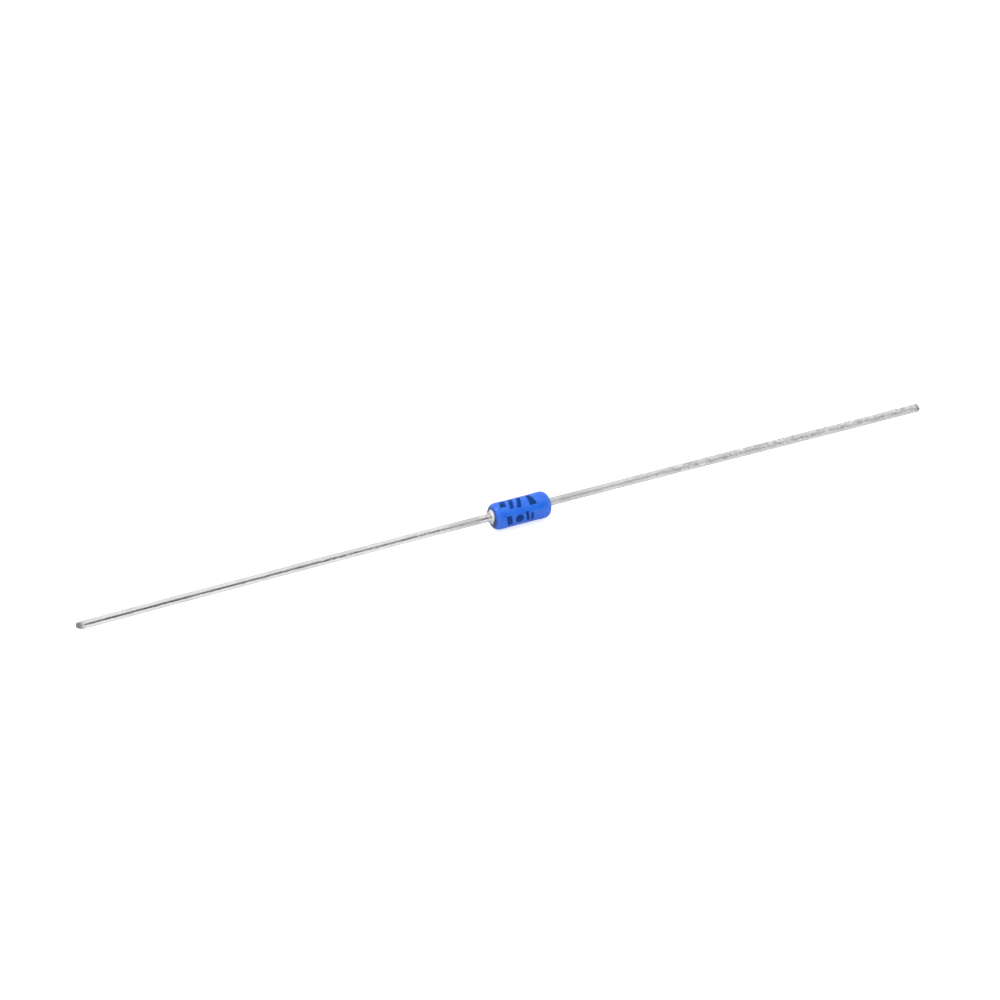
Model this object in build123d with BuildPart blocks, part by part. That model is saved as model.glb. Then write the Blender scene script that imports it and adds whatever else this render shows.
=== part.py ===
import os

from build123d import *

# A diac in a small axial glass package: a chip pressed between two studs inside a glass sleeve,
# with a lacquer coat over the glass and one tinned lead welded to each stud.
# Millimetres. The leads lie along X, the origin is the middle of the body, and +Z is up.

# Body, measured over the lacquer coat
body_length = 4.25  # between the flats at its ends, before the coat is opened round the studs
body_radius = 0.91  # where the side would meet the end face if the corner were sharp
waist = 0.015  # how far the side draws in by the middle
end_rounding = 0.48
coat_thickness = 0.03
coat_opening_radius = 0.54  # leaves a bare ring of glass round each stud

# Pieces inside the sleeve
stud_radius = 0.42
stud_chamfer = 0.02
stud_standout = 0.02  # beyond the body's length
chip_side = 0.45
chip_thickness = 0.24
mesa_setback = 0.05
mesa_depth = 0.04
bump_radius = 0.16
bump_height = 0.06
bump_rounding = 0.05

# Leads
lead_radius = 0.275
lead_length = 28.9  # from the end of the body's length to the cropped tip
tip_rounding = 0.06
weld_length = 0.51  # from the stud's face until the wire is back to its own radius
weld_radius = 0.34  # of the bead, on the stud's face
weld_crest = (0.03, 0.33)  # past the stud and from the axis: the curve's pull beside the stud
weld_neck = (0.09, 0.277)  # the same, where the bead runs out along the wire

# Places along X that follow from the sizes
body_half = body_length / 2
glass_half = body_half - coat_thickness
glass_radius = body_radius - coat_thickness
glass_rounding = end_rounding - coat_thickness
bump_foot = chip_thickness / 2
stud_inner = bump_foot + bump_height
stud_outer = body_half + stud_standout
weld_end = stud_outer + weld_length
tip = body_half + lead_length

# Half sections are drawn with X pointing out of the body, on the side that the piece is on
sides = {
    "left": Plane(origin=(0, 0, 0), x_dir=(-1, 0, 0), z_dir=(0, 0, -1)),
    "right": Plane.XY,
}


def sleeve(half, radius, bore, rounding):
    """A tube along X that draws in to a shallow waist between two rounded ends."""
    with BuildPart() as tube:
        with BuildSketch() as section:
            with BuildLine():
                Polyline((half, radius), (half, bore), (-half, bore), (-half, radius))
                ThreePointArc((-half, radius), (0, radius - waist), (half, radius))
            make_face()
            corners = [v for v in section.vertices() if v.Y > radius - waist]
            fillet(corners, radius=rounding)
        revolve(axis=Axis.X)
    return tube.part


def finish(part, name):
    """Name the piece and write it to its own file."""
    part.label = name
    export_step(part, f"parts/{name}.step")


os.makedirs("parts", exist_ok=True)

# Glass sleeve, fused to the studs along its bore
with BuildPart() as glass_sleeve:
    add(sleeve(glass_half, glass_radius, stud_radius, glass_rounding))
finish(glass_sleeve.part, "glass_sleeve")

# Lacquer coat, which wraps the rounded ends of the glass and stops short of the studs
with BuildPart() as lacquer_coat:
    add(sleeve(body_half, body_radius, stud_radius, end_rounding))
    add(sleeve(glass_half, glass_radius, stud_radius, glass_rounding), mode=Mode.SUBTRACT)
    Cylinder(coat_opening_radius, body_length, rotation=(0, 90, 0), mode=Mode.SUBTRACT)
finish(lacquer_coat.part, "lacquer_coat")

# Chip: a square wafer with the rim of each face etched back to a mesa
with BuildPart() as chip:
    with BuildSketch(Plane.YZ):
        Rectangle(chip_side, chip_side)
    extrude(amount=chip_thickness / 2, both=True)
    for face in chip.faces().filter_by(Axis.X):
        chamfer(face.edges(), length=mesa_setback, length2=mesa_depth, reference=face)
finish(chip.part, "chip")

for side, outward in sides.items():
    # Contact bump: a low silver dome that the stud has pressed flat
    with BuildPart() as contact_bump:
        with BuildSketch(outward) as section:
            with BuildLine():
                Polyline(
                    (bump_foot, 0),
                    (bump_foot, bump_radius),
                    (stud_inner, bump_radius),
                    (stud_inner, 0),
                    close=True,
                )
            make_face()
            shoulder = section.vertices().sort_by(Axis.X)[-2:].sort_by(Axis.Y)[-1]
            fillet(shoulder, radius=bump_rounding)
        revolve(axis=Axis.X)
    finish(contact_bump.part, f"contact_bump_{side}")

    # Stud: a plain slug gripped by the glass, its outer face just proud of the coat
    with BuildPart() as stud:
        with BuildSketch(outward) as section:
            with BuildLine():
                Polyline(
                    (stud_inner, 0),
                    (stud_inner, stud_radius),
                    (stud_outer, stud_radius),
                    (stud_outer, 0),
                    close=True,
                )
            make_face()
            chamfer(section.vertices().group_by(Axis.Y)[-1], length=stud_chamfer)
        revolve(axis=Axis.X)
    finish(stud.part, f"stud_{side}")

    # Lead: round wire, swollen into a weld bead at the stud and cropped at the tip
    with BuildPart() as lead:
        with BuildSketch(outward) as section:
            with BuildLine():
                bead_foot = (stud_outer, weld_radius)
                Polyline(
                    (weld_end, lead_radius),
                    (tip, lead_radius),
                    (tip, 0),
                    (stud_outer, 0),
                    bead_foot,
                )
                crest = (stud_outer + weld_crest[0], weld_crest[1])
                neck = (stud_outer + weld_neck[0], weld_neck[1])
                Bezier(bead_foot, crest, neck, (weld_end, lead_radius))
            make_face()
            rim = section.vertices().sort_by(Axis.X)[-2:].sort_by(Axis.Y)[-1]
            fillet(rim, radius=tip_rounding)
        revolve(axis=Axis.X)
    finish(lead.part, f"lead_{side}")
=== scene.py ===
import math

import bmesh
import bpy
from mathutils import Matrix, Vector, noise


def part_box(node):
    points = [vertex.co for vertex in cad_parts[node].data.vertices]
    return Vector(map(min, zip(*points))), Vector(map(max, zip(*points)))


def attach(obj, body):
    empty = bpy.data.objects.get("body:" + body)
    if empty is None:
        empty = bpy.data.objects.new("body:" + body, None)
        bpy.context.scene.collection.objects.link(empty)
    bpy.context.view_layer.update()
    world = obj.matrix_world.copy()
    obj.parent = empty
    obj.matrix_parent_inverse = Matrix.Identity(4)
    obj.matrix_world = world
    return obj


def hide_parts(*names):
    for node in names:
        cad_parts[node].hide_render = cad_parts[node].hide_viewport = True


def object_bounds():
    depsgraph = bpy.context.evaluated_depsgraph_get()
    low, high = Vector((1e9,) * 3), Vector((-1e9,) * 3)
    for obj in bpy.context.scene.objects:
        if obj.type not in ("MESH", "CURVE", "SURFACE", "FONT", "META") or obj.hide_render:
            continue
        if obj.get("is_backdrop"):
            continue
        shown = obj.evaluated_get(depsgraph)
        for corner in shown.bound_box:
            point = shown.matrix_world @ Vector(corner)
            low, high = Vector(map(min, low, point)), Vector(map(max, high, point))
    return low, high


# A small axial diac lying on a pale surface. Meshes are drawn in millimetres, in the part's own
# frame, and MM turns them into the scene's metres.
MM = 0.001

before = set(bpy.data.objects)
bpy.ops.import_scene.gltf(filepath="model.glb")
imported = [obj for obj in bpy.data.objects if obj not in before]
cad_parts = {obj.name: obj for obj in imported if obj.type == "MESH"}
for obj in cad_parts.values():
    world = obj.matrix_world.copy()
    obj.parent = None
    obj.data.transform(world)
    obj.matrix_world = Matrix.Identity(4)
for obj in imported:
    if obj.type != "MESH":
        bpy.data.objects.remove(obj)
cad_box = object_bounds()

# Places along the leads, from the frame
GLASS_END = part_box("glass_sleeve")[1].x / MM
STUD_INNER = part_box("stud_right")[0].x / MM
STUD_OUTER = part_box("stud_right")[1].x / MM
CHIP_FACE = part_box("chip")[1].x / MM
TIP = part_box("lead_right")[1].x / MM

# Radii and small forms of the turned pieces, in millimetres
BODY_RADIUS = 0.91
WAIST = 0.015
END_ROUNDING = 0.48
COAT = 0.03
COAT_OPENING = 0.54
STUD_RADIUS = 0.42
STUD_CHAMFER = 0.02
BUMP_RADIUS = 0.16
BUMP_ROUNDING = 0.05
WIRE_RADIUS = 0.275
WELD_LENGTH = 0.51
WELD_RADIUS = 0.34
WELD_CREST = (0.03, 0.33)
WELD_NECK = (0.09, 0.277)
TIP_ROUNDING = 0.06
BODY_END = GLASS_END + COAT

SIDES = {"left": -1, "right": 1}

# Camera: its angles, then its distance, its lens and how far its aim lies from the middle of the
# part, across and up the picture, in millimetres
CAMERA_AZIMUTH = math.radians(-26.41)
CAMERA_ELEVATION = math.radians(31.32)
CAMERA_DISTANCE = 230.15
CAMERA_LENS = 125.2
CAMERA_SENSOR = 36
CAMERA_ASIDE = -1.276
CAMERA_ABOVE = 0.686

# The print faces the viewer: angles round the body are counted from this one, upwards
FACING = math.radians(34.2)


def make_camera():
    """A long lens that looks down on the part, with the left lead nearer."""
    data = bpy.data.cameras.new("camera")
    data.lens = CAMERA_LENS
    data.sensor_width = CAMERA_SENSOR
    data.clip_start = CAMERA_DISTANCE / 100 * MM
    data.clip_end = CAMERA_DISTANCE * 100 * MM
    camera = bpy.data.objects.new("camera", data)
    bpy.context.scene.collection.objects.link(camera)
    level = math.cos(CAMERA_ELEVATION)
    back = Vector((
        math.sin(CAMERA_AZIMUTH) * level,
        -math.cos(CAMERA_AZIMUTH) * level,
        math.sin(CAMERA_ELEVATION),
    ))
    turn = (-back).to_track_quat("-Z", "Y")
    aim = turn @ Vector((CAMERA_ASIDE, CAMERA_ABOVE, 0))
    camera.rotation_mode = "QUATERNION"
    camera.rotation_quaternion = turn
    camera.location = (aim + back * CAMERA_DISTANCE) * MM
    bpy.context.scene.camera = camera


# ---------------------------------------------------------------- meshes


def make_object(name, points, faces, material):
    """A smooth mesh object from points in millimetres."""
    mesh = bpy.data.meshes.new(name)
    mesh.from_pydata([Vector(p) * MM for p in points], [], faces)
    shape = bmesh.new()
    shape.from_mesh(mesh)
    bmesh.ops.recalc_face_normals(shape, faces=shape.faces)
    for face in shape.faces:
        face.smooth = True
    shape.to_mesh(mesh)
    shape.free()
    mesh.materials.append(material)
    obj = bpy.data.objects.new(name, mesh)
    bpy.context.scene.collection.objects.link(obj)
    return obj


def bridge(first, second, count):
    """Faces between two rings of count points, from the index of each ring's first point."""
    turns = [(k, (k + 1) % count) for k in range(count)]
    return [(first + k, first + n, second + n, second + k) for k, n in turns]


def skin(rings, loop=False):
    """Points and faces through rings: a loop of rings, or a tube with a cap at each end."""
    count = len(rings[0])
    last = (len(rings) - 1) * count
    points = [p for hoop in rings for p in hoop]
    faces = []
    for i in range(len(rings) - 1):
        faces += bridge(i * count, (i + 1) * count, count)
    if loop:
        return points, faces + bridge(last, 0, count)
    for first, rim in ((0, rings[0]), (last, rings[-1])):
        hub = len(points)
        points.append(sum(rim, Vector()) / count)
        faces += [(first + k, first + (k + 1) % count, hub) for k in range(count)]
    return points, faces


def around(angle, radius):
    """Y and Z at an angle round the leads' axis, counted upwards from the facing side."""
    turned = FACING + angle
    return -math.cos(turned) * radius, math.sin(turned) * radius


def ring(x, radius_at, count):
    """A ring of points round the axis. radius_at gives the radius for an angle."""
    angles = [2 * math.pi * k / count for k in range(count)]
    return [Vector((x, *around(a, radius_at(a)))) for a in angles]


def arc(centre, radius, start, end, steps):
    """Points (x, r) on an arc of the half section. Angles are in degrees, from +X towards +r."""
    angles = [math.radians(start + (end - start) * i / steps) for i in range(steps + 1)]
    return [(centre[0] + radius * math.cos(a), centre[1] + radius * math.sin(a)) for a in angles]


def lathe(name, outline, material, count=96, loop=False):
    """A turned piece from its half section, a list of (x, r)."""
    rings = [ring(x, lambda angle, r=r: r, count) for x, r in outline]
    return make_object(name, *skin(rings, loop), material)


def stand_for(obj, node):
    """The piece is shown in place of a CAD node, on the part's one body."""
    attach(obj, "root")
    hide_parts(node)


def bumpy(x, y, z, size):
    """Smooth noise from about -1 to 1, with features of the given size in millimetres."""
    return noise.noise(Vector((x, y, z)) / size)


def bell(x, centre, width):
    """A smooth rise to 1 at centre that falls away over width."""
    return math.exp(-(((x - centre) / width) ** 2))


def ramp(x, start, length):
    """An even rise from 0 at start to 1 over length."""
    return min(1, max(0, (x - start) / length))


def near_tip(x, length):
    """An even rise from 0 to 1 over the last length of a wire."""
    return max(0, 1 - (TIP - x) / length)


# ---------------------------------------------------------------- shader nodes


def operate(tree, kind, operation, *values):
    """Adds a maths node. Each value is an output or a number for the next of its sockets."""
    node = tree.nodes.new(kind)
    node.operation = operation
    for socket, value in zip(node.inputs, values):
        if isinstance(value, bpy.types.NodeSocket):
            tree.links.new(value, socket)
        else:
            socket.default_value = value
    return node.outputs


def map_range(tree, source, span, to_span, interpolation="LINEAR"):
    """Maps a value from one range to another, each given as (low, high)."""
    node = tree.nodes.new("ShaderNodeMapRange")
    node.interpolation_type = interpolation
    for name, value in zip(("From Min", "From Max", "To Min", "To Max"), (*span, *to_span)):
        node.inputs[name].default_value = value
    tree.links.new(source, node.inputs["Value"])
    return node.outputs["Result"]


# ---------------------------------------------------------------- materials


class Paint:
    """A material with one Principled shader, and short ways to add nodes to it."""

    def __init__(self, name, **values):
        self.material = bpy.data.materials.new(name)
        self.material.use_nodes = True
        self.tree = self.material.node_tree
        self.shader = self.tree.nodes["Principled BSDF"]
        self.place = self.add("ShaderNodeTexCoord").outputs["Object"]
        for key, value in values.items():
            self.shader.inputs[key.replace("_", " ")].default_value = value

    def add(self, kind, **settings):
        """Adds a node with some of its settings changed."""
        node = self.tree.nodes.new(kind)
        for key, value in settings.items():
            setattr(node, key, value)
        return node

    def join(self, source, socket):
        """Links an output to a socket."""
        self.tree.links.new(source, socket)

    def drive(self, socket, source):
        """Feeds one of the shader's sockets."""
        self.join(source, self.shader.inputs[socket])

    def noise(self, size, detail=3.0, stretch=(1, 1, 1)):
        """Noise with features of size millimetres, longer along each axis by stretch."""
        mapping = self.add("ShaderNodeMapping")
        mapping.inputs["Scale"].default_value = [1 / s for s in stretch]
        self.join(self.place, mapping.inputs["Vector"])
        node = self.add("ShaderNodeTexNoise")
        node.inputs["Scale"].default_value = 1 / (size * MM)
        node.inputs["Detail"].default_value = detail
        self.join(mapping.outputs["Vector"], node.inputs["Vector"])
        return node.outputs["Fac"]

    def spread(self, source, low, high, to_low=0.0, to_high=1.0):
        """Maps a value smoothly from one range to another."""
        return map_range(self.tree, source, (low, high), (to_low, to_high), "SMOOTHSTEP")

    def zone(self, place, start, end, to_low=0.0, to_high=1.0):
        """Changes smoothly between two places, which are in millimetres."""
        return self.spread(place, start * MM, end * MM, to_low, to_high)

    def mix(self, factor, first, second):
        """A colour between two colours, each three numbers or an output."""
        node = self.add("ShaderNodeMix", data_type="RGBA")
        self.join(factor, node.inputs[0])
        for socket, colour in ((node.inputs[6], first), (node.inputs[7], second)):
            if isinstance(colour, tuple):
                socket.default_value = (*colour, 1)
            else:
                self.join(colour, socket)
        return node.outputs[2]

    def bump(self, height, depth, under=None):
        """Raises the surface by height, from 0 to 1, times depth in millimetres."""
        node = self.add("ShaderNodeBump")
        node.inputs["Distance"].default_value = depth * MM
        self.join(height, node.inputs["Height"])
        if under:
            self.join(under, node.inputs["Normal"])
        self.drive("Normal", node.outputs["Normal"])
        return node.outputs["Normal"]

    def blend(self, factor, first, second):
        """A value between two outputs."""
        node = self.add("ShaderNodeMix")
        self.join(factor, node.inputs[0])
        self.join(first, node.inputs[2])
        self.join(second, node.inputs[3])
        return node.outputs[0]

    def times(self, first, second):
        """The product of two outputs."""
        return operate(self.tree, "ShaderNodeMath", "MULTIPLY", first, second)["Value"]

    def along(self, axis="X"):
        """The place along the leads, or along another axis, in metres from the body's middle."""
        split = self.add("ShaderNodeSeparateXYZ")
        self.join(self.place, split.inputs["Vector"])
        return split.outputs[axis]

    def from_middle(self):
        """Distance from the middle of the body along the leads, in metres."""
        return operate(self.tree, "ShaderNodeMath", "ABSOLUTE", self.along())["Value"]


def lacquer_paint():
    """Bright blue lacquer: glossy, with faint orange peel and specks, and painted shade on the
    body's ends, dark navy with lighter flecks.
    """
    deep_blue, light_blue = (0.017, 0.16, 0.86), (0.024, 0.19, 0.93)
    speck_blue = (0.012, 0.09, 0.55)
    painted_shade_end_dark, painted_shade_end_fleck = (0.003, 0.016, 0.07), (0.03, 0.09, 0.30)
    paint = Paint("blue_lacquer", IOR=1.5)
    cloud = paint.spread(paint.noise(0.6), 0.35, 0.65)
    blue = paint.mix(cloud, deep_blue, light_blue)
    specks = paint.spread(paint.noise(0.05, 2), 0.66, 0.74)
    blue = paint.mix(specks, blue, speck_blue)
    # Painted shade: the ends of the body, which face away from the light, are coloured dark navy
    # with lighter flecks
    rim = paint.zone(paint.from_middle(), 1.92, 2.08)
    end_shade_mottle = paint.spread(paint.noise(0.08, 3), 0.42, 0.6)
    blue = paint.mix(rim, blue, paint.mix(end_shade_mottle, painted_shade_end_dark, painted_shade_end_fleck))
    paint.drive("Base Color", blue)
    paint.drive("Roughness", paint.spread(paint.noise(0.25), 0.3, 0.7, 0.2, 0.32))
    peel = paint.bump(paint.noise(0.16, 1.5), 0.006)
    paint.bump(paint.noise(0.03, 2), 0.0006, peel)
    return paint.material


def ink_paint():
    """Dark blue ink, a little duller than the lacquer, thin in places."""
    full_ink, thin_ink = (0.003, 0.040, 0.21), (0.012, 0.10, 0.52)
    paint = Paint("marking_ink", IOR=1.18)
    thin = paint.spread(paint.noise(0.09, 3), 0.48, 0.68)
    paint.drive("Base Color", paint.mix(thin, full_ink, thin_ink))
    paint.drive("Roughness", paint.spread(paint.noise(0.12), 0.3, 0.7, 0.3, 0.45))
    paint.bump(paint.noise(0.05, 3), 0.0015)
    return paint.material


# Colours of the tinned wire. The bright and the dull tin each go between two of them.
BRIGHT_TIN = (0.85, 0.845, 0.835), (0.76, 0.755, 0.745)
DULL_TIN = (0.76, 0.76, 0.765), (0.68, 0.68, 0.69)
# The tin is darker in a patch next to the body
NEAR_BODY_TIN = (0.65, 0.645, 0.635)
TIN_LINE = (0.52, 0.515, 0.51)
CUT_METAL = (0.25, 0.25, 0.245)
# Painted shade: the weld bead beside the body's end is coloured darker than the tin
WELD_PAINTED_SHADE = (0.68, 0.675, 0.67)
TIN_STAIN = (0.54, 0.54, 0.545)
# Painted glints: the colour of bright flecks on the upper side of the right lead's crust
TIN_PAINTED_GLINT = (0.97, 0.97, 0.98)


def tin_paint():
    """Tinned wire: bright metal with fine lines, matt and grainy towards the right tip, with
    painted glints there.
    """
    paint = Paint("tinned_wire", Metallic=1.0)
    along, away = paint.along(), paint.from_middle()
    lines = paint.noise(0.03, 3, (30, 1, 1))
    # Duller on the right lead, crusted on its outer part and most of all on its upper side
    dull = paint.zone(along, -1.5, 1.5)
    crust = paint.zone(along, 6, 13)
    upper = paint.times(crust, paint.zone(paint.along("Z"), -0.06, 0.08))
    # A duller patch next to the body, the weld bead darkened as painted shade beside the body's
    # end, and the cut tips
    near_body = paint.times(paint.zone(away, 2.7, 3.1), paint.zone(away, 3.4, 6.5, 1.0, 0.0))
    shaded_weld = paint.zone(away, STUD_OUTER + 0.3, STUD_OUTER + 0.5, 1.0, 0.0)
    cut = paint.zone(away, TIP - 0.5, TIP)

    patches = paint.spread(paint.noise(0.45, 4, (3, 1, 1)), 0.35, 0.7)
    metal = paint.mix(dull, paint.mix(patches, *BRIGHT_TIN), paint.mix(patches, *DULL_TIN))
    metal = paint.mix(near_body, metal, NEAR_BODY_TIN)
    metal = paint.mix(paint.spread(lines, 0.56, 0.75), metal, TIN_LINE)
    metal = paint.mix(cut, metal, CUT_METAL)
    metal = paint.mix(shaded_weld, metal, WELD_PAINTED_SHADE)
    stains = paint.spread(paint.noise(0.22, 3, (2, 1, 1)), 0.48, 0.62)
    metal = paint.mix(paint.times(upper, stains), metal, TIN_STAIN)
    # Painted glints: bright flecks on the upper side of the crust
    painted_glints = paint.spread(paint.noise(0.19, 2, (1.5, 1, 1)), 0.59, 0.65)
    metal = paint.mix(paint.times(upper, painted_glints), metal, TIN_PAINTED_GLINT)
    paint.drive("Base Color", metal)

    smooth = paint.spread(paint.noise(0.2, 4, (4, 1, 1)), 0.3, 0.7, 0.15, 0.26)
    rough = paint.spread(paint.noise(0.2, 4, (2, 1, 1)), 0.3, 0.7, 0.34, 0.5)
    matt = paint.blend(near_body, paint.blend(dull, smooth, rough), rough)
    paint.drive("Roughness", paint.blend(cut, matt, rough))

    # Drawn lines, then pits that deepen from the left tip on, then the lumps of the crust
    worn = paint.zone(along, -26, -10, 0.35, 1.0)
    grain = paint.bump(lines, 0.0025)
    pits = paint.bump(paint.times(worn, paint.noise(0.11, 4, (1.6, 1, 1))), 0.027, grain)
    paint.bump(paint.times(crust, paint.noise(0.13, 2, (1.5, 1, 1))), 0.05, pits)
    return paint.material


def stud_paint():
    """Copper-clad stud, wetted with tin where it comes out of the glass."""
    dark_copper, light_copper = (0.46, 0.16, 0.10), (0.62, 0.27, 0.17)
    tin = (0.88, 0.87, 0.86)
    paint = Paint("copper_clad_stud", Metallic=1.0)
    patches = paint.spread(paint.noise(0.2), 0.3, 0.7)
    copper = paint.mix(patches, dark_copper, light_copper)
    wetted = paint.zone(paint.from_middle(), GLASS_END - 0.03, GLASS_END)
    paint.drive("Base Color", paint.mix(wetted, copper, tin))
    paint.drive("Roughness", paint.spread(paint.noise(0.08), 0.3, 0.7, 0.25, 0.45))
    paint.bump(paint.noise(0.05, 4, (6, 1, 1)), 0.003)
    return paint.material


def glass_paint():
    """Clear sealing glass with a faint grey-green tint, milky and pale at its ends as a painted
    highlight.
    """
    green_glass, pale_glass = (0.86, 0.90, 0.89), (0.92, 0.94, 0.93)
    paint = Paint("clear_glass", IOR=1.56)
    # Painted highlight: near its ends the glass lets less light through and shows its pale colour,
    # so the ends look bright
    clear = paint.zone(paint.from_middle(), 1.85, 1.95, 1.0, 0.15)
    paint.drive("Transmission Weight", clear)
    tint = paint.spread(paint.noise(0.5), 0.3, 0.7)
    paint.drive("Base Color", paint.mix(tint, green_glass, pale_glass))
    paint.drive("Roughness", paint.spread(paint.noise(0.15), 0.3, 0.7, 0.02, 0.06))
    paint.bump(paint.noise(0.3, 1), 0.003)
    return paint.material


def silicon_paint():
    """Diced silicon, with a pale metal contact on each face inside the etched rim."""
    dark_grain, light_grain = (0.055, 0.058, 0.07), (0.10, 0.105, 0.12)
    plating = (0.62, 0.61, 0.58)
    paint = Paint("silicon", IOR=3.4)
    grain = paint.spread(paint.noise(0.04, 4), 0.35, 0.65)
    silicon = paint.mix(grain, dark_grain, light_grain)
    contact = paint.zone(paint.from_middle(), CHIP_FACE - 0.006, CHIP_FACE - 0.001)
    paint.drive("Base Color", paint.mix(contact, silicon, plating))
    paint.drive("Metallic", contact)
    paint.drive("Roughness", paint.spread(grain, 0, 1, 0.3, 0.45))
    paint.bump(paint.noise(0.02, 4), 0.001)
    return paint.material


def silver_paint():
    """Plated silver, matt and slightly yellow."""
    dark_silver, light_silver = (0.80, 0.78, 0.72), (0.90, 0.89, 0.85)
    paint = Paint("silver", Metallic=1.0)
    patches = paint.spread(paint.noise(0.06, 4), 0.35, 0.65)
    paint.drive("Base Color", paint.mix(patches, dark_silver, light_silver))
    paint.drive("Roughness", paint.spread(paint.noise(0.03), 0.3, 0.7, 0.35, 0.55))
    paint.bump(paint.noise(0.015, 4), 0.002)
    return paint.material


# ---------------------------------------------------------------- body


def side_radius(x, radius, end):
    """The shallow waist of the body's side."""
    return radius - WAIST * (1 - (x / end) ** 2)


def half_outline(end, radius, rounding, opening, steps):
    """One end and half of the side of a sleeve, as (x, r) from the opening to the middle."""
    turn_x = end - rounding
    turn = (turn_x, side_radius(turn_x, radius, end) - rounding)
    start = math.degrees(math.asin(max(0, opening - turn[1]) / rounding))
    side = [(turn_x * (1 - i / steps), side_radius(turn_x * (1 - i / steps), radius, end))
            for i in range(1, steps + 1)]
    face = [(end, opening)] if opening < turn[1] else []
    return face + arc(turn, rounding, start, 90, steps) + side


def sleeve_outline(end, radius, rounding, opening, steps):
    """The whole outside of a sleeve, as (x, r) from the right opening to the left one."""
    half = half_outline(end, radius, rounding, opening, steps)
    return half + [(-x, r) for x, r in reversed(half[:-1])]


# Where the lacquer pools, as (height, place along the leads, width), and its unevenness
POOLS = ((0.010, 1.42, 0.26), (0.008, -1.38, 0.24))
SLOW_SWELL, FINE_SWELL = 0.005, 0.0015


def lacquer_swell(x, angle):
    """How far the lacquer stands above its plain form, in millimetres: it pools near the ends."""
    y, z = around(angle, BODY_RADIUS)
    pool = sum(height * bell(x, place, width) for height, place, width in POOLS)
    return pool + SLOW_SWELL * bumpy(x, y, z, 0.7) + FINE_SWELL * bumpy(x + 7, y, z, 0.2)


def coat_surface(x, angle):
    """The coat's radius on the side of the body."""
    return side_radius(x, BODY_RADIUS, BODY_END) + lacquer_swell(x, angle)


# The bare end round each stud: its least radius, how much wider it is on the near side, the
# angle above the facing line at which it is widest, and how far its edge strays
BARE_LEAST = COAT_OPENING - 0.08
BARE_WIDER = 0.2
BARE_WIDEST_AT = 0.5
EDGE_WANDER, EDGE_RAGGED = 0.02, 0.016


def painted_edge(sign, angle):
    """The radius at which the lacquer stops: it wanders, and is wider on the near side."""
    wander = bumpy(sign * 3, math.cos(angle) * 2, math.sin(angle) * 2, 0.8)
    ragged = bumpy(sign * 3, math.cos(angle) * 2, math.sin(angle) * 2, 0.22)
    near = max(0, math.cos(angle - BARE_WIDEST_AT)) ** 2
    return BARE_LEAST + BARE_WIDER * near + EDGE_WANDER * wander + EDGE_RAGGED * ragged


# Points of the coat: round it, along half of its outside and of its inside, and the number of
# points from its edge over which the swell comes in
COAT_COLUMNS = 320
OUTER_STEPS, INNER_STEPS = 30, 14
SWELL_STEPS = 5


def coat_column(angle):
    """The coat's section at one angle, as (x, r) round its outside and back along its inside."""
    outer, inner = [], []
    for sign in (1, -1):
        edge = painted_edge(sign, angle)
        skin_out = half_outline(BODY_END, BODY_RADIUS, END_ROUNDING, edge, OUTER_STEPS)
        skin_in = half_outline(
            GLASS_END, BODY_RADIUS - COAT, END_ROUNDING - COAT, edge, INNER_STEPS
        )
        skin_out = [(sign * x, r + min(1, i / SWELL_STEPS) * lacquer_swell(sign * x, angle))
                    for i, (x, r) in enumerate(skin_out)]
        skin_in = [(sign * x, r) for x, r in skin_in]
        outer = skin_out if sign > 0 else outer + skin_out[-2::-1]
        inner = skin_in if sign > 0 else inner + skin_in[-2::-1]
    return outer + inner[::-1]


def make_coat(paint):
    """The lacquer: a closed shell over the glass whose edge wanders round each stud."""
    columns = []
    for k in range(COAT_COLUMNS):
        angle = 2 * math.pi * k / COAT_COLUMNS
        columns.append([Vector((x, *around(angle, r))) for x, r in coat_column(angle)])
    rings = [list(points) for points in zip(*columns)]
    coat = make_object("lacquer", *skin(rings, loop=True), paint)
    stand_for(coat, "lacquer_coat")


# How far the glass's outside is drawn in, so that it lies under the coat and not in it
GLASS_INSET = 0.0005


def make_glass(paint):
    """The sleeve under the coat, open through its bore."""
    outline = sleeve_outline(GLASS_END, BODY_RADIUS - COAT, END_ROUNDING - COAT, STUD_RADIUS, 16)
    shrunk = [(x, r - GLASS_INSET) for x, r in outline[1:-1]]
    outline = [outline[0], *shrunk, outline[-1]]
    stand_for(lathe("glass", outline, paint, loop=True), "glass_sleeve")


def make_studs(paint):
    """The slugs inside the glass, with broken edges."""
    for side, sign in SIDES.items():
        lip = STUD_RADIUS - STUD_CHAMFER
        outline = [
            (sign * STUD_INNER, lip),
            (sign * (STUD_INNER + STUD_CHAMFER), STUD_RADIUS),
            (sign * (STUD_OUTER - STUD_CHAMFER), STUD_RADIUS),
            (sign * STUD_OUTER, lip),
        ]
        stand_for(lathe(f"slug_{side}", outline, paint), f"stud_{side}")


def make_bumps(paint):
    """The silver domes between the chip and the studs, pressed flat."""
    for side, sign in SIDES.items():
        shoulder = (STUD_INNER - BUMP_ROUNDING, BUMP_RADIUS - BUMP_ROUNDING)
        curve = arc(shoulder, BUMP_ROUNDING, 90, 0, 10)
        outline = [(sign * x, r) for x, r in [(CHIP_FACE, BUMP_RADIUS)] + curve]
        bump = lathe(f"silver_bump_{side}", outline, paint, 48)
        stand_for(bump, f"contact_bump_{side}")


# ---------------------------------------------------------------- leads


def bezier(points, t):
    """A point on a curve through four handles."""
    weights = ((1 - t) ** 3, 3 * t * (1 - t) ** 2, 3 * t * t * (1 - t), t ** 3)
    return tuple(sum(w * p[i] for w, p in zip(weights, points)) for i in range(2))


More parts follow.
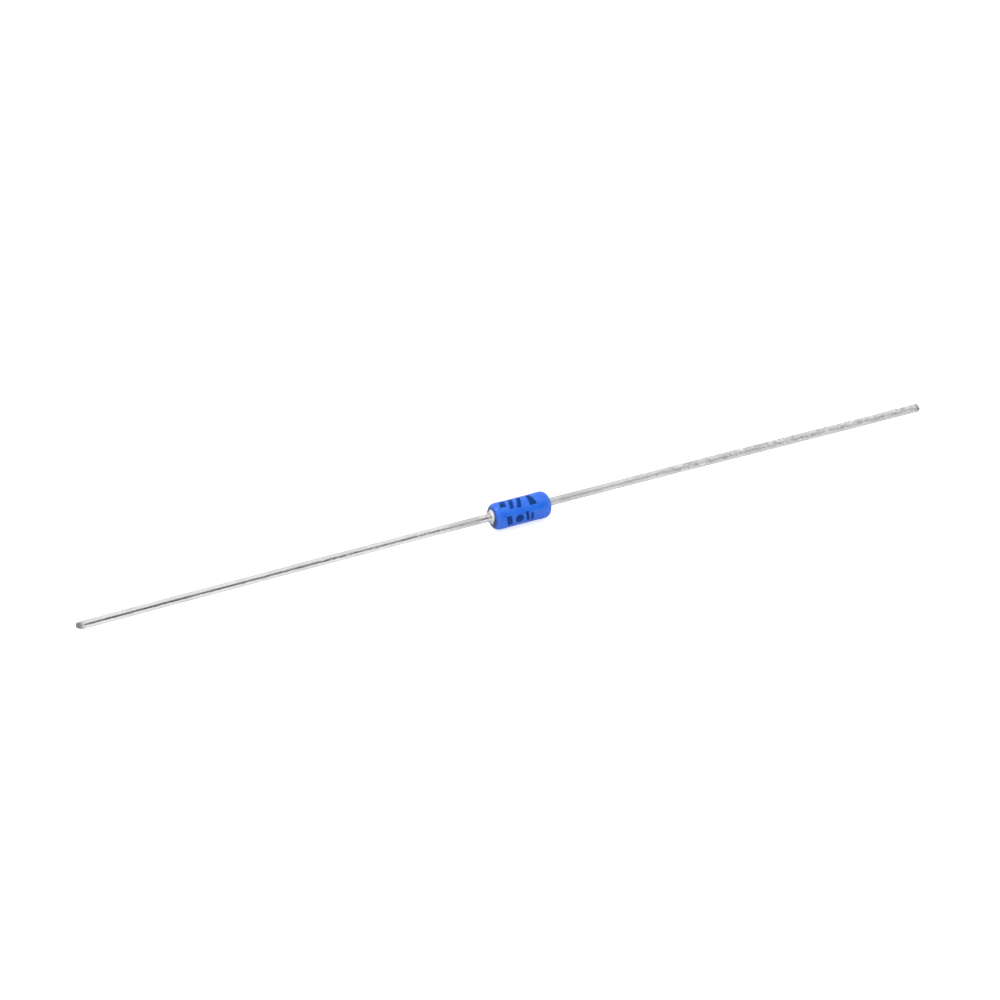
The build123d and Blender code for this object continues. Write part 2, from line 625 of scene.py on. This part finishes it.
def weld_outline(steps):
    """The weld bead's half section, from the stud's face to the plain wire."""
    handles = (
        (STUD_OUTER, WELD_RADIUS),
        (STUD_OUTER + WELD_CREST[0], WELD_CREST[1]),
        (STUD_OUTER + WELD_NECK[0], WELD_NECK[1]),
        (STUD_OUTER + WELD_LENGTH, WIRE_RADIUS),
    )
    return [bezier(handles, i / steps) for i in range(steps + 1)]


# Each lead's height above the axis just past its weld, then the two parts of its bend down
# towards its tip
LEAD_RISE = {-1: (0.055, -0.03, -0.095), 1: (0.045, -0.02, -0.075)}
RISE_LENGTH = 0.12
WANDER_ASIDE, WANDER_UP = 0.05, 0.02
WANDER_EASE = 6


def wire_drift(x, sign):
    """How far the wire strays from the axis at x, as (y, z). run goes from 0 to 1 along it."""
    run = (x - STUD_OUTER) / (TIP - STUD_OUTER)
    rise, lean, droop = LEAD_RISE[sign]
    away = ramp(x, STUD_OUTER, RISE_LENGTH)
    ease = min(1, run * WANDER_EASE)
    y = WANDER_ASIDE * noise.noise(Vector((run * 2.2, sign * 3.1, 0))) * ease
    z = WANDER_UP * noise.noise(Vector((run * 4, sign * 5.7, 4))) * ease
    return y, z + away * (rise + lean * run + droop * run * run)


# Points round a wire, and steps along its weld, its run, the last length of that and its rim
WIRE_SIDES = 48
WELD_STEPS, RUN_STEPS, END_STEPS, RIM_STEPS = 36, 210, 10, 6
END_LENGTH = 0.5


def wire_outline():
    """The lead's plain half section, from the stud's face to the rim of the cropped tip."""
    outline = weld_outline(WELD_STEPS)
    start, end = outline[-1][0], TIP - END_LENGTH
    outline += [(start + (end - start) * i / RUN_STEPS, WIRE_RADIUS)
                for i in range(1, RUN_STEPS + 1)]
    turn = (TIP - TIP_ROUNDING, WIRE_RADIUS - TIP_ROUNDING)
    outline += [(end + (turn[0] - end) * i / END_STEPS, WIRE_RADIUS)
                for i in range(1, END_STEPS)]
    return outline + arc(turn, TIP_ROUNDING, 90, 0, RIM_STEPS)


# Where the weld bead's lumps lie, past the stud's face, and how far they spread
BEAD_AT, BEAD_SPREAD = 0.08, 0.16

# How far each tip draws in, as a share of its radius, and over what length
PINCH = {-1: 0.7, 1: 0.12}
PINCH_LENGTH = 0.4


def make_leads(paint):
    """The wires, each with its weld bead, a slight bend and a sheared tip."""
    for side, sign in SIDES.items():
        rings = []
        for x, r in wire_outline():
            drift = Vector((0, *wire_drift(x, sign)))
            bead = bell(x, STUD_OUTER + BEAD_AT, BEAD_SPREAD)
            pinch = PINCH[sign] * near_tip(x, PINCH_LENGTH) ** 2
            outer = ring(sign * x, lambda a: wire_radius(sign * x, r, a, bead, pinch), WIRE_SIDES)
            rings.append([p + drift + shear(p, x, sign) for p in outer])
        lead = make_object(f"wire_{side}", *skin(rings), paint)
        stand_for(lead, f"lead_{side}")


# Unevenness of the metal as (height, size of a lump): on the weld bead, all along the tin, and
# in the crust on the right lead
BEAD_LUMPS = (0.011, 0.25)
SLOW_TIN, FINE_TIN = (0.0035, 0.22), (0.002, 0.09)
CRUST_LUMPS = (0.010, 0.28)
CRUST_START, CRUST_RISE = 7, 6

# The right lead's tin hangs a little below the wire: how far, from where, and over what length
SAG, SAG_START, SAG_RISE = 0.03, 9, 8


def wire_radius(x, r, angle, bead, pinch):
    """The wire's radius: lumps on the weld bead, faint unevenness along the tin, a pinched tip."""
    y, z = math.cos(angle) * 0.3, math.sin(angle) * 0.3
    lumps = BEAD_LUMPS[0] * bumpy(x, y, z, BEAD_LUMPS[1])
    tin = SLOW_TIN[0] * bumpy(x * 0.5, y, z, SLOW_TIN[1])
    tin += FINE_TIN[0] * bumpy(x, y, z, FINE_TIN[1])
    tin += CRUST_LUMPS[0] * ramp(x, CRUST_START, CRUST_RISE) * bumpy(x, y, z, CRUST_LUMPS[1])
    squeeze = 0.6 + 0.4 * math.cos(angle + x) ** 2
    sag = SAG * ramp(x, SAG_START, SAG_RISE) * max(0, -math.sin(angle))
    return (r + sag) * (1 - pinch * squeeze) + bead * lumps + (1 - bead) * tin


# The left tip's nose: how far it stands out, how much it leans back towards its top, and how
# far it turns up
NOSE, NOSE_LEAN, NOSE_LIFT = 0.12, 0.05, 0.11

# The right tip's wedge: how far it stands out, how much it falls back above and below, and the
# burr at its top, with the height at which that starts
WEDGE, WEDGE_ABOVE, WEDGE_BELOW = 0.03, 0.06, 0.14
BURR, BURR_START = 0.3, 0.8
SHEAR_LENGTH = 0.3


def shear(point, x, sign):
    """Slants the last of the wire as side cutters leave it: a blunt nose, or a wedge and a burr."""
    reach = near_tip(x, SHEAR_LENGTH)
    high = point.z / WIRE_RADIUS
    if sign < 0:
        return Vector((-reach * (NOSE - NOSE_LEAN * high), 0, NOSE_LIFT * reach ** 2))
    slant = WEDGE - WEDGE_ABOVE * max(0, high) - WEDGE_BELOW * max(0, -high)
    slant += BURR * max(0, high - BURR_START)
    return Vector((reach * slant, 0, 0))


# ---------------------------------------------------------------- marking


def plate(x, s, corners):
    """Distance to a plate with straight edges, from its corners in order."""
    edges = zip(corners, corners[1:] + corners[:1])
    return max(
        ((x - x1) * (s2 - s1) - (s - s1) * (x2 - x1)) / math.hypot(x2 - x1, s2 - s1)
        for (x1, s1), (x2, s2) in edges
    )


def disc(x, s, centre, radius):
    """Distance to a disc."""
    return math.hypot(x - centre[0], s - centre[1]) - radius


# Each mark is a plain shape at (x, s), with s the arc length above the facing line
UPPER_ROW = (
    lambda x, s: plate(x, s, [(-1.60, 0.48), (-1.16, 0.48), (-1.06, 1.04), (-1.46, 1.04)]),
    lambda x, s: plate(x, s, [(-0.98, 0.22), (-0.72, 0.22), (-0.46, 1.07), (-0.80, 1.07)]),
    lambda x, s: plate(x, s, [(-0.46, 0.20), (-0.16, 0.20), (0.12, 1.07), (-0.19, 1.07)]),
    lambda x, s: plate(x, s, [(0.47, 0.16), (1.02, 0.16), (0.76, 1.07), (0.5, 1.07)]),
)
LOWER_ROW = (
    lambda x, s: plate(x, s, [(-1.28, -0.92), (-0.90, -0.92), (-0.97, -0.22), (-1.36, -0.22)]),
    lambda x, s: disc(x, s, (-0.40, -0.58), 0.31),
    lambda x, s: plate(x, s, [(0.14, -0.92), (0.36, -0.92), (0.27, -0.18), (0.04, -0.18)]),
    lambda x, s: plate(x, s, [(0.47, -0.96), (0.64, -0.96), (0.61, -0.36), (0.42, -0.36)]),
)

# The ink's thickness, and the width over which it thins out to its edge
INK = 0.005
INK_EDGE = 0.02

# The teeth of the ink's edge, coarse and fine, as (depth, size), and its bare spots: their
# size, the noise level above which they lie, and the steepness and depth of their edges
COARSE_TEETH, FINE_TEETH = (0.010, 0.07), (0.006, 0.025)
SPOT_SIZE, SPOT_LEVEL, SPOT_STEEP, SPOT_DEPTH = 0.05, 0.42, 0.11, 0.035

# The rectangle of the unrolled coat that holds all the print, and the size of its cells
PRINT_LOW, PRINT_HIGH = (-1.9, -1.1), (1.4, 1.3)
PRINT_CELL = 0.016


def ink_distance(shape, x, s):
    """Distance to the inked shape: its edge is a little ragged and a few spots stay bare."""
    ragged = COARSE_TEETH[0] * bumpy(x, s, 3, COARSE_TEETH[1])
    ragged += FINE_TEETH[0] * bumpy(x, s, 9, FINE_TEETH[1])
    spot = max(0, bumpy(x, s, 21, SPOT_SIZE) - SPOT_LEVEL)
    inked = shape(x, s) + ragged
    return max(inked, SPOT_STEEP * spot - SPOT_DEPTH) if spot > 0 else inked


def cut_cell(corners):
    """The part of a cell where the distance is below zero, as (x, s, distance) points."""
    out = []
    for here, after in zip(corners, corners[1:] + corners[:1]):
        if here[2] < 0:
            out.append(here)
        if (here[2] < 0) != (after[2] < 0):
            t = here[2] / (here[2] - after[2])
            out.append((here[0] + t * (after[0] - here[0]), here[1] + t * (after[1] - here[1]), 0))
    return out


def ink_cells(shape):
    """Polygons that fill the inked shape on the unrolled coat."""
    columns, rows = [
        round((high - low) / PRINT_CELL) for low, high in zip(PRINT_LOW, PRINT_HIGH)
    ]
    grid = [
        [(PRINT_LOW[0] + i * PRINT_CELL, PRINT_LOW[1] + j * PRINT_CELL) for j in range(rows + 1)]
        for i in range(columns + 1)
    ]
    field = [[(x, s, ink_distance(shape, x, s)) for x, s in column] for column in grid]
    for left, right in zip(field, field[1:]):
        for j in range(rows):
            cell = cut_cell([left[j], right[j], right[j + 1], left[j + 1]])
            if len(cell) > 2:
                yield cell


def ink_point(x, s, lift):
    """A point on the coat, lifted off it by lift."""
    angle = s / BODY_RADIUS
    return Vector((x, *around(angle, coat_surface(x, angle) + lift)))


def make_marks(name, shapes, paint):
    """One row of print: closed thin skins of ink that follow the coat."""
    points, faces, index = [], [], {}

    def corner(x, s, distance, top):
        key = (round(x, 5), round(s, 5), top or distance == 0)
        if key not in index:
            index[key] = len(points)
            lift = INK * (1 - math.exp(distance / INK_EDGE)) if top else -INK / 2
            points.append(ink_point(x, s, lift if distance < 0 else -INK / 4))
        return index[key]

    for shape in shapes:
        for cell in ink_cells(shape):
            for top in (True, False):
                loop = [corner(*p, top) for p in cell]
                loop = [v for i, v in enumerate(loop) if v != loop[i - 1]]
                if len(loop) > 2:
                    faces.append(loop)
    marks = make_object(name, points, faces, paint)
    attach(marks, "root")


# ---------------------------------------------------------------- studio


# The floor's side is in metres
FLOOR_SIZE = 1.6
FLOOR_COLOUR = (0.82, 0.82, 0.82, 1)

# What the floor adds to its own colour, for the camera and for mirror and glass rays
FLOOR_GLOW = {"Is Camera Ray": 0.68, "Is Glossy Ray": 0.13, "Is Transmission Ray": 0.13}


def floor_glow(tree):
    """The strength of the floor's glow for each kind of ray."""
    path = tree.nodes.new("ShaderNodeLightPath")
    total = 0
    for name, strength in FLOOR_GLOW.items():
        ray = path.outputs[name]
        total = operate(tree, "ShaderNodeMath", "MULTIPLY_ADD", ray, strength, total)["Value"]
    return total


def make_floor():
    """A pale surface under the part. It shows white to the camera, and keeps a soft shadow."""
    bpy.ops.mesh.primitive_plane_add(size=FLOOR_SIZE, location=(0, 0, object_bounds()[0].z))
    floor = bpy.context.object
    floor.name = "floor"
    material = bpy.data.materials.new("floor")
    material.use_nodes = True
    tree = material.node_tree
    tree.nodes.clear()
    surface = tree.nodes.new("ShaderNodeBsdfDiffuse")
    surface.inputs["Color"].default_value = FLOOR_COLOUR
    glow = tree.nodes.new("ShaderNodeEmission")
    tree.links.new(floor_glow(tree), glow.inputs["Strength"])
    both = tree.nodes.new("ShaderNodeAddShader")
    tree.links.new(surface.outputs[0], both.inputs[0])
    tree.links.new(glow.outputs[0], both.inputs[1])
    tree.links.new(both.outputs[0], tree.nodes.new("ShaderNodeOutputMaterial").inputs["Surface"])
    floor.data.materials.append(material)
    floor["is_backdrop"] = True


# The unlit side of the studio: its middle, how much narrower it is along the part, how far
# from its middle it is darkest and where it ends, and how dark it is
DARK_SIDE = Vector((0.32, -0.85, 0.42))
DARK_NARROW = Vector((2.6, 1, 1))
DARK_CORE, DARK_EDGE = 0.24, 0.78
DARKEST = 0.08

# The studio's light brightens between two heights of its dome
SKY_HEIGHTS = (0.1, 0.9)
SKY_LEVELS = (1.02, 1.22)


def make_world():
    """Soft light from all round, brighter overhead, with an unlit side on the viewer's side."""
    world = bpy.data.worlds.new("studio")
    bpy.context.scene.world = world
    world.use_nodes = True
    tree = world.node_tree
    tree.nodes.clear()
    direction = tree.nodes.new("ShaderNodeTexCoord").outputs["Generated"]
    apart = operate(tree, "ShaderNodeVectorMath", "SUBTRACT", direction, DARK_SIDE)["Vector"]
    scaled = operate(tree, "ShaderNodeVectorMath", "MULTIPLY", apart, DARK_NARROW)["Vector"]
    reach = operate(tree, "ShaderNodeVectorMath", "LENGTH", scaled)["Value"]
    dark = map_range(tree, reach, (DARK_CORE, DARK_EDGE), (DARKEST, 1.0), "SMOOTHSTEP")
    height = tree.nodes.new("ShaderNodeSeparateXYZ")
    tree.links.new(direction, height.inputs[0])
    overhead = map_range(tree, height.outputs["Z"], SKY_HEIGHTS, SKY_LEVELS)
    light = operate(tree, "ShaderNodeMath", "MULTIPLY", dark, overhead)["Value"]
    # The camera sees plain white
    path = tree.nodes.new("ShaderNodeLightPath")
    shown = tree.nodes.new("ShaderNodeMix")
    tree.links.new(path.outputs["Is Camera Ray"], shown.inputs[0])
    tree.links.new(light, shown.inputs[2])
    shown.inputs[3].default_value = 1.0
    sky = tree.nodes.new("ShaderNodeBackground")
    tree.links.new(shown.outputs[0], sky.inputs["Strength"])
    tree.links.new(sky.outputs[0], tree.nodes.new("ShaderNodeOutputWorld").inputs["Surface"])


# The lamp's place and side are in millimetres, and its energy is in watts
LAMP_PLACE = Vector((-112, 48, 250))
LAMP_SIZE = 60
LAMP_ENERGY = 0.17


def make_lamp():
    """A square soft light from overhead, aimed at the middle of the part."""
    data = bpy.data.lights.new("overhead", "AREA")
    data.shape = "SQUARE"
    data.size = LAMP_SIZE * MM
    data.energy = LAMP_ENERGY
    lamp = bpy.data.objects.new("overhead", data)
    lamp.location = LAMP_PLACE * MM
    lamp.rotation_mode = "QUATERNION"
    lamp.rotation_quaternion = (-LAMP_PLACE).to_track_quat("-Z", "Y")
    bpy.context.scene.collection.objects.link(lamp)


def write_sizes():
    """The CAD model's box and the visual model's box, lowest and highest corner of each."""
    boxes = {"cad": cad_box, "visual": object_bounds()}
    sizes = {name: [list(corner) for corner in box] for name, box in boxes.items()}


make_camera()
make_coat(lacquer_paint())
make_glass(glass_paint())
make_studs(stud_paint())
make_bumps(silver_paint())
make_leads(tin_paint())
ink = ink_paint()
make_marks("marking_upper", UPPER_ROW, ink)
make_marks("marking_lower", LOWER_ROW, ink)
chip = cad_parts["chip"]
chip.data.materials[0] = silicon_paint()

make_floor()
make_world()
make_lamp()
bpy.context.scene.view_settings.view_transform = "Standard"

write_sizes()
